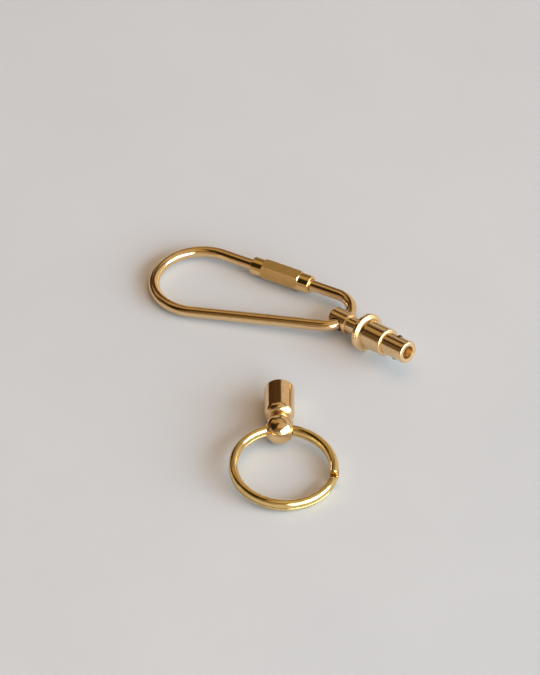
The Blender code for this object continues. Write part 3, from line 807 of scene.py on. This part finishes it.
# %% Stem eye
eye_radius = 2.9
eye_half = 3.1
wire_hole_radius = 2.1
eye_band_low = -2.4
eye_band_high = 2.7
neck_radius = 2.35
collar_back = 10.3
collar_front = 11.3
collar_radius = 2.97
eye_end_round = 0.6
eye_front_chamfer = 0.2
neck_root_round = 0.1
stem_columns = columns_from(math.pi / 2)
stem_end = profile(
    (-eye_half, 0, 0),
    (-eye_half, eye_radius, eye_end_round),
    (eye_band_low, eye_radius, 0),
)
stem_neck = profile(
    (eye_band_high, eye_radius, 0),
    (eye_half, eye_radius, -eye_front_chamfer),
    (eye_half, neck_radius, neck_root_round),
    (collar_back, neck_radius, 0),
    (collar_back, collar_radius, 0),
    (collar_front, collar_radius, 0),
    (collar_front, 0, 0),
)
stem_band = drilled_band(eye_radius, wire_hole_radius, eye_band_low, eye_band_high, 0, stem_columns)
stem_patches = [spun(stem_end, stem_columns), *stem_band, spun(stem_neck, stem_columns)]
fine_piece("stem_turned", stem_patches, plug_axes, "stem", "stem_eye")

# %% [markdown]
# The spindle stands on the stem inside the plug, and only its end face shows, as the floor of the
# nose's bore. That floor lies in shade, so the whole spindle carries the bore's dark colour, a
# painted shade with some grime.

# %% Spindle tip
land_radius = 1.532
waist_radius = 1.132
spindle_back = 8.3
spindle_cone = 2
spindle_tip = 22.6
spindle_chamfer = 0.2
spindle_rows = profile(
    (spindle_back, 0, 0),
    (spindle_back, waist_radius, 0),
    (ball_place - spindle_cone, waist_radius, 0),
    (ball_place, land_radius, 0),
    (spindle_tip, land_radius, -spindle_chamfer),
    (spindle_tip, 0, 0),
)
spindle_rows[:, 2] = bore_grime_and_shade
spindle = [spun(spindle_rows, columns_from(0, count=96), matt=1.0)]
fine_piece("spindle_turned", spindle, plug_axes, "stem", "lock_spindle")

# %% [markdown]
# ## The lock balls
#
# Two hardened steel balls stand a little out of the nose. Their place is the middle of their
# nodes' boxes, and a half circle spun round an axis gives a ball with no visible facets.

# %% Balls
ball_radius = 0.9
ball_circles = 41
latitude = np.linspace(-np.pi / 2, np.pi / 2, ball_circles)
ball_rows = np.stack([ball_radius * np.sin(latitude), ball_radius * np.cos(latitude), 0 * latitude], 1)
ball_rows[[0, -1], 1] = 0
for side in ("a", "b"):
    node = f"lock_ball_{side}"
    low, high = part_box(node)
    ball_axes = Axes((np.array(low) + np.array(high)) / 2, *plug_axes.rows)
    ball_patch = [spun(ball_rows, columns_from(0, count=80))]
    fine_piece(f"steel_ball_{side}", ball_patch, ball_axes, f"ball_{side}", node, "ball_steel")

# %% [markdown]
# ## The socket
#
# The loose half's tube is turned as the plug is. Its back has a wide rounded shoulder that carries
# the room's reflection round in a hook, and inside it has the groove that the balls lock in. The
# outline starts and ends at the same point, so the surface closes.

# %% Socket
socket_radius = 3.9
socket_end = 4.1
socket_length = 10.8
socket_mouth = socket_end + socket_length
socket_bore = 3.15
socket_depth = 8.4
socket_bottom = socket_mouth - socket_depth
groove_station = 3.4
groove_middle = socket_mouth - groove_station
groove_half = 0.95
groove_depth = 0.35
shank_hole = 1.33
clip_recess = 2.3
clip_recess_depth = 1.1
clip_recess_bottom = socket_bottom - clip_recess_depth
shoulder_round = 1.9
mouth_round = 0.25
mouth_chamfer = 0.15
socket_rows = profile(
    (clip_recess_bottom, shank_hole, 0),
    (socket_end, shank_hole, 0),
    (socket_end, socket_radius, shoulder_round),
    (socket_mouth, socket_radius, mouth_round),
    (socket_mouth, socket_bore, -mouth_chamfer),
    (groove_middle + groove_half, socket_bore, 0),
    (groove_middle + groove_half - groove_depth, socket_bore + groove_depth, 0),
    (groove_middle - groove_half + groove_depth, socket_bore + groove_depth, 0),
    (groove_middle - groove_half, socket_bore, 0),
    (socket_bottom, socket_bore, 0),
    (socket_bottom, clip_recess, 0),
    (clip_recess_bottom, clip_recess, 0),
    (clip_recess_bottom, shank_hole, 0),
)
bar_axis = joint_axis("eye_swivel")
level = np.array([1.0, 0.0, 0.0])
socket_axes = Axes(joint_place("eye_swivel"), level, np.cross(bar_axis, level), bar_axis)
socket_patch = [spun(socket_rows, columns_from(0))]
fine_piece("socket_turned", socket_patch, socket_axes, "socket", "socket_shell")

# %% [markdown]
# ## The swivel eye
#
# The eye is a ball with its two sides cut flat and a wide hole between them, so what is left is a
# belt of a sphere round the hole's axis. That belt is a closed outline spun about the hole's axis,
# which is the eye's local X, so the spun points' coordinates move on by one. The shank that turns
# in the socket is a second shell in the same mesh.

# %% Swivel eye
ball_eye_radius = 3.9
flat_half = 3.275
ring_hole_radius = 2.25
belt_end = math.radians(53)
belt_circles = 49
flat_edge = 0.1
hole_skin = 0.001
ring_hole_dirt = -0.6
belt = np.linspace(-belt_end, belt_end, belt_circles)
belt_corners = [(ball_eye_radius * math.sin(b), ball_eye_radius * math.cos(b), 0) for b in belt]
rim_radius = math.sqrt(ball_eye_radius**2 - flat_half**2)
belt_rows = profile(
    (0, ring_hole_radius, 0),
    (-flat_half, ring_hole_radius, 0),
    (-flat_half, rim_radius, 0),
    *belt_corners,
    (flat_half, rim_radius, 0),
    (flat_half, ring_hole_radius, 0),
    (0, ring_hole_radius, 0),
)
on_edge = np.abs(belt_rows[:, 0]) > flat_half - flat_edge
in_hole = belt_rows[:, 1] < ring_hole_radius + hole_skin
belt_rows[:, 2] = np.where(in_hole, ring_hole_dirt, on_edge)

neck_start = 3.0
neck_end = 4.0
swivel_neck = 2.0
shank_end = 6.4
shank_radius = 1.25
shank_chamfer = 0.08
shank_rows = profile(
    (neck_start, 0, 0),
    (neck_start, swivel_neck, 0),
    (neck_end, swivel_neck, 0),
    (neck_end, shank_radius, 0),
    (shank_end, shank_radius, -shank_chamfer),
    (shank_end, 0, 0),
)
hole_axis = joint_axis("ring_swing")
eye_axes = Axes(joint_place("eye_swivel"), hole_axis, np.cross(bar_axis, hole_axis), bar_axis)
belt_patch = spun(belt_rows, columns_from(0))
belt_points = np.roll(belt_patch.points, 1, axis=-1)
eye_patches = [Patch(belt_points, belt_patch.wear), spun(shank_rows, columns_from(0, count=96))]
fine_piece("eye_turned", eye_patches, eye_axes, "eye", "swivel_eye")

# %% [markdown]
# ## The screw sleeve
#
# The sleeve is a hexagon with a round collar at each end. Along the hexagon, the radius depends on
# the direction: half the width across flats, divided by the cosine of the angle from the nearest
# flat, with a small arc over each ridge. The chamfer is a cone, and the cone meets the hexagon
# further along at the ridges than at the flats, which draws the scalloped arcs at the ends.

# %% Sleeve
sleeve_length = 17.8
hex_start = 3.25
hex_end = sleeve_length - hex_start
flat_radius = 2.575
ridge_round = 0.12
collar = 2.5
liner_bore = 2.01
wire_bore = 1.58
sleeve_lip = 1.2
hex_chamfer = 0.3
near_edge_round = 0.25
far_edge_round = 0.35
sleeve_bore_chamfer = 0.2
sleeve_turn = math.radians(35)
hex_sides = 6
sixth = 2 * math.pi / hex_sides
ridge_half = math.radians(1.5)
ridge_columns = 13
flat_columns = 20
hex_dull = 0.8

leg_axis = joint_axis("sleeve_travel")
link_up = unit(np.cross(leg_axis, wire_tangent))
leg_axes = Axes(joint_place("sleeve_turn"), link_up, np.cross(leg_axis, link_up), leg_axis)
ridge_zone = np.linspace(-ridge_half, ridge_half, ridge_columns)
flat_zone = np.linspace(ridge_half, sixth - ridge_half, flat_columns)[1:-1]
sector = np.concatenate([ridge_zone, flat_zone])
hex_angles = (sector + sixth * np.arange(hex_sides)[:, None]).ravel()


def hexagon_radius(angles):
    """The hexagon's radius in each direction, its ridges rounded by a small arc.

    Measured from a ridge, the flat has radius a / cos(30 degrees - angle). Within the arc, the
    radius is c cos(angle) + sqrt(r^2 - c^2 sin^2(angle)), with the arc's centre at c.
    """
    off = np.abs((angles + sixth / 2) % sixth - sixth / 2)
    centre = (flat_radius - ridge_round) / math.cos(sixth / 2)
    flat = flat_radius / np.cos(sixth / 2 - off)
    tangent = math.atan2(ridge_round / 2, centre + ridge_round * math.cos(sixth / 2))
    inside = np.maximum(ridge_round**2 - (centre * np.sin(off)) ** 2, 0)
    arc = centre * np.cos(off) + np.sqrt(inside)
    return np.where(off < tangent, arc, flat)


ridge = flat_radius / math.cos(sixth / 2)
hexagon = hexagon_radius(hex_angles)
chamfer_run = hex_chamfer * (hexagon - flat_radius) / (ridge - flat_radius)
near_collar = profile(
    (sleeve_lip, liner_bore, 0),
    (0, liner_bore, -sleeve_bore_chamfer),
    (0, collar, near_edge_round),
    (hex_start, collar, 0),
)
far_collar = profile(
    (hex_end, collar, 0),
    (sleeve_length, collar, far_edge_round),
    (sleeve_length, wire_bore, -sleeve_bore_chamfer),
    (sleeve_length - sleeve_lip, wire_bore, 0),
    (sleeve_length - sleeve_lip, liner_bore, 0),
    (sleeve_lip, liner_bore, 0),
)
chamfer_rows = [
    # distance from the hexagon's end, radius, wear
    (0 * hexagon, collar + 0 * hexagon, -1),
    (0 * hexagon, flat_radius + 0 * hexagon, 1),
    (chamfer_run, hexagon, 1),
    (chamfer_run + hold, hexagon, edge_wear),
    (chamfer_run + fade, hexagon, 0),
]
inward, radius, wear = (np.array(part) for part in zip(*chamfer_rows))
along = np.concatenate([hex_start + inward, hex_end - inward[::-1]])
radius = np.concatenate([radius, radius[::-1]])
hex_points = np.stack([radius * np.cos(hex_angles), radius * np.sin(hex_angles), along], axis=-1)
hex_wear = np.concatenate([wear, wear[::-1]])[:, None]
hex_matt = np.tile(np.where(np.abs(sector) > ridge_half, hex_dull, 0), hex_sides)
hexagon_patch = Patch(hex_points, hex_wear, matt=hex_matt)
sleeve_patches = [spun(near_collar, hex_angles), hexagon_patch, spun(far_collar, hex_angles)]
sleeve_axes = leg_axes.turned(sleeve_turn)
fine_piece(
    "sleeve_turned", sleeve_patches, sleeve_axes, "sleeve", "screw_sleeve", "brass_satin"
)

# %% [markdown]
# ## The link
#
# The link is one wire of 3 mm, bent round a wide bow and a small arc with two straight legs
# between. The far leg is open under the sleeve, and both of its ends are threaded. A wire is a
# circle carried along a route, and the thread is a groove that goes once round for each pitch.

# %% Route of the wire
wire_radius = 1.5
bow_radius = 12.4
small_radius = 6.6
centre_distance = 36.2
sleeve_start = 9.6
long_end = 19.6
long_thread = 10.2
short_end = 24.6
short_thread = 2.6
leg_tilt = math.asin((bow_radius - small_radius) / centre_distance)
leg_length = math.sqrt(centre_distance**2 - (bow_radius - small_radius) ** 2)
link_x = math.cos(leg_tilt) * leg_axis + math.sin(leg_tilt) * np.cross(link_up, leg_axis)
link_y = np.cross(link_up, link_x)
leg_root = bow_radius * (math.sin(leg_tilt) * link_x + math.cos(leg_tilt) * link_y)
link_origin = joint_place("sleeve_turn") - (leg_root + sleeve_start * leg_axis) * MM
link_axes = Axes(link_origin, link_x, link_y, link_up)
tangent_place = math.pi / 2 - leg_tilt


def straight(start, end, steps):
    """Points from start to end, without the last, and their direction of travel."""
    start, end = np.array(start), np.array(end)
    share = np.linspace(0, 1, steps, endpoint=False)[:, None]
    return start + (end - start) * share, np.broadcast_to(unit(end - start), (steps, 2))


def bend(centre_x, radius, start, end, steps):
    """Points of an arc that runs clockwise, without the last, and their direction of travel."""
    angle = np.linspace(start, end, steps, endpoint=False)
    outward = np.stack([np.cos(angle), np.sin(angle)], 1)
    along = np.stack([np.sin(angle), -np.cos(angle)], 1)
    return np.array([centre_x, 0]) + radius * outward, along


def on_leg(distance):
    """A point on the far leg, measured from the bow."""
    root = bow_radius * np.array([math.sin(leg_tilt), math.cos(leg_tilt)])
    return root + distance * np.array([math.cos(leg_tilt), -math.sin(leg_tilt)])


near_leg_end = on_leg(leg_length) * [1, -1]
near_leg_start = on_leg(0) * [1, -1]
stretches = [
    straight(on_leg(short_end), on_leg(short_end + short_thread), steps=52),
    straight(on_leg(short_end + short_thread), on_leg(leg_length), steps=12),
    bend(centre_distance, small_radius, tangent_place, -tangent_place, steps=90),
    straight(near_leg_end, near_leg_start, steps=40),
    bend(0, bow_radius, -tangent_place, tangent_place - 2 * math.pi, steps=150),
    straight(on_leg(0), on_leg(long_end - long_thread), steps=12),
    straight(on_leg(long_end - long_thread), on_leg(long_end), steps=205),
]
route = np.concatenate([points for points, _ in stretches] + [[on_leg(long_end)]])
heading = np.concatenate([along for _, along in stretches] + [[stretches[-1][1][-1]]])
distance = np.concatenate([[0], np.cumsum(np.linalg.norm(np.diff(route, axis=0), axis=1))])
print(f"wire of {distance[-1]:.1f} mm from end to end")

# %% [markdown]
# Carrying the circle along the route gives a grid with one row for each point of the route. The
# thread is a change of radius on that grid, which moves on by one turn for each pitch.

# %% Wire with threaded ends
thread_pitch = 0.5
thread_depth = 0.13
thread_runout = 12
thread_dirt = 0.7
wire_end_round = 0.25
wire_columns = 56
around = columns_from(0, wire_columns)


def swept(route, heading, radii, around):
    """A ring of points round each point of a level route.

    across is the heading turned a quarter to the right, so a ring's point is
    centre + radius (cos(angle) across + sin(angle) up).
    """
    across = np.stack([heading[:, 1], -heading[:, 0]], 1)[:, None, :]
    level_part = route[:, None, :] + across * (radii * np.cos(around))[:, :, None]
    return np.concatenate([level_part, (radii * np.sin(around))[:, :, None]], axis=-1)


from_end = np.minimum(distance / short_thread, (distance[-1] - distance) / long_thread)
threaded = np.clip((1 - from_end) * thread_runout, 0, 1)[:, None]
groove = 0.5 - 0.5 * np.cos(2 * np.pi * (distance[:, None] / thread_pitch) - around)
entry = np.minimum(distance, distance[-1] - distance)[:, None]
entry_cut = np.maximum(wire_end_round - entry, 0)
radii = wire_radius - thread_depth * threaded * groove - entry_cut
wire_points = swept(route, heading, radii, around)
end_caps = [end.mean(axis=1, keepdims=True) + 0 * end for end in (wire_points[:1], wire_points[-1:])]
wire_points = np.concatenate([end_caps[0], wire_points, end_caps[1]])
flat_circle = wire_radius * np.cos(around), wire_radius * np.sin(around)
pattern = np.stack(np.broadcast_arrays(*flat_circle, distance[:, None]), axis=-1)
pattern = np.concatenate([pattern[:1], pattern, pattern[-1:]])
wire_wear = np.concatenate([[[0]], -threaded * thread_dirt, [[0]]])
wire_patch = [Patch(wire_points, wire_wear, pattern)]
fine_piece("link_drawn", wire_patch, link_axes, "link", "link_wire", "brass_drawn")

# %% [markdown]
# ## The split ring
#
# Two turns of one wire lie on each other. Each turn is domed on its outer side and flat where it
# meets the other. The wire climbs from the lower turn to the upper along one short jog, and the
# free ends stop beside it, which leaves the notch where a key is started.

# %% Section and route of the ring
ring_outer_radius = 14.0
ring_width = 2.3
ring_height = 1.6
ring_edge_round = 0.15
ring_turn_gap = 0.1
ring_jog = math.radians(10)
ring_jog_place = math.radians(-20)
ring_jog_spread = math.radians(24)
ring_jog_shift = 0.15
ring_end_gap = 0.12
ring_end_round = 0.35
ring_hang = math.radians(4.9)
ring_offset = 0.17
ring_end_rows = 7
ring_rows_cut = 3
ring_middle = ring_outer_radius - ring_width / 2
ring_reach = ring_middle + ring_offset
ring_layer = (ring_height + ring_turn_gap) / 2


def eased(share):
    """Half a cosine wave: 1 up to a share of 0, and 0 from a share of 1 on."""
    return (1 + np.cos(np.pi * np.clip(share, 0, 1))) / 2


def ring_section(upper, steps):
    """The radial and upward parts of the wire's section, for each share of being the upper turn.

    The radial part is w cos(angle). The dome is half an ellipse, and the flat side's edges are
    quarter circles of radius e, which drop by sqrt(e^2 - s^2) at a distance s into the edge. The
    lower turn is the upper one mirrored, and along the jog the section runs from one to the other.
    """
    angle = columns_from(0, steps)
    radial = ring_width / 2 * np.cos(angle)
    base = ring_height / 2 - ring_edge_round
    domed = (ring_height - ring_edge_round) * np.abs(np.sin(angle))
    into_edge = np.maximum(np.abs(radial) - ring_width / 2 + ring_edge_round, 0)
    flat = np.sqrt(np.maximum(ring_edge_round**2 - into_edge**2, 0))
    above = np.where(np.sin(angle) >= 0, domed - base, -base - flat)
    below = np.where(np.sin(angle) >= 0, base + flat, base - domed)
    return radial, above * upper + below * (1 - upper)


plain = 2 * math.pi - ring_jog - ring_end_gap / ring_middle
first = -ring_jog / 2 - plain
turns = np.linspace(first, -first, num=901)[ring_rows_cut:-ring_rows_cut, None]
end_rise = np.linspace(0, np.pi / 2, ring_end_rows + 1)[:-1, None]
end_run = ring_end_round * (1 - np.cos(end_rise)) / ring_middle
shrunk = np.concatenate([np.sin(end_rise), np.ones_like(turns), np.sin(end_rise)[::-1]])
turns = np.concatenate([first + end_run, turns, -first - end_run[::-1]])
upper = eased(turns / ring_jog + 0.5)
shift = ring_jog_shift * (eased(np.abs(turns) / ring_jog_spread) - eased((turns - first) / ring_jog_spread))
section_out, section_up = ring_section(upper, steps=64)
radial = ring_middle + shift + section_out * shrunk
upward = ring_layer * (2 * upper - 1) + section_up * shrunk
angle = turns + ring_jog_place
ring_points = np.stack([radial * np.cos(angle), radial * np.sin(angle) - ring_reach, upward], axis=-1)
ring_pattern = np.stack(np.broadcast_arrays(section_out, section_up, angle * ring_middle), axis=-1)
print(f"ring wire of {-2 * first * ring_middle:.0f} mm in two turns")


# %% [markdown]
# The ring's far side hangs in the ball's hole and its near side lies on the bench. Its tilt
# follows from those two contacts, so it is worked out and not typed.


# %% Ring in place
def ring_droop():
    """How far the ring tilts down from the ball's hole until its domed wire lies on the bench.

    With t for the tilt, e for the eye's turn and R for the radius of the dome's crest, the ring's
    middle drops by its distance times t, and the crest drops below the middle by
    R sqrt(t^2 + e^2). Setting the sum to the height to lose gives a quadratic in t.
    """
    eye_turn = math.asin(-hole_axis[2])
    back = ring_reach * math.cos(ring_hang)
    stack = 2 * ring_height + ring_turn_gap
    drop = socket_radius - stack / 2 - ring_reach * math.sin(ring_hang) * eye_turn
    square = ring_middle**2 - back**2
    line = back * drop
    plain_part = drop**2 - (ring_middle * eye_turn) ** 2
    return (math.sqrt(line**2 + square * plain_part) - line) / square


flat_axes = Axes(joint_place("ring_swing"), hole_axis, bar_axis, np.cross(hole_axis, bar_axis))
ring_axes = flat_axes.tipped(ring_droop()).turned(ring_hang)
ring_patch = [Patch(ring_points, np.zeros((1, 1)), ring_pattern)]
fine_piece("ring_rolled", ring_patch, ring_axes, "key_ring", "split_ring", "brass_ring")

# %% [markdown]
# ## Pieces that stay as packed
#
# The liner, the washers, the spring, the bush and the clip are inside or show only as a thin line,
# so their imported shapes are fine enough. They get the finishes of their metals.

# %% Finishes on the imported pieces
packed_finishes = {
    "thread_liner": "bright_steel",
    "release_spring": "bright_steel",
    "eye_clip": "bright_steel",
    "thrust_washer": "bush_bronze",
    "rear_bush": "bush_bronze",
    "eye_washer": "bush_bronze",
}
for node, finish in packed_finishes.items():
    for slot in frame["nodes"][node].material_slots:
        slot.material = finishes[finish]
print(len(packed_finishes), "packed pieces dressed")

# %% [markdown]
# ## Finish
#
# The fine surfaces are meant to stay inside the boxes of their solids; each piece printed its
# largest distance from its solid's box as it was made. The colours go out unchanged through the
# Standard view.

# %% View transform
bpy.context.scene.view_settings.view_transform = "Standard"
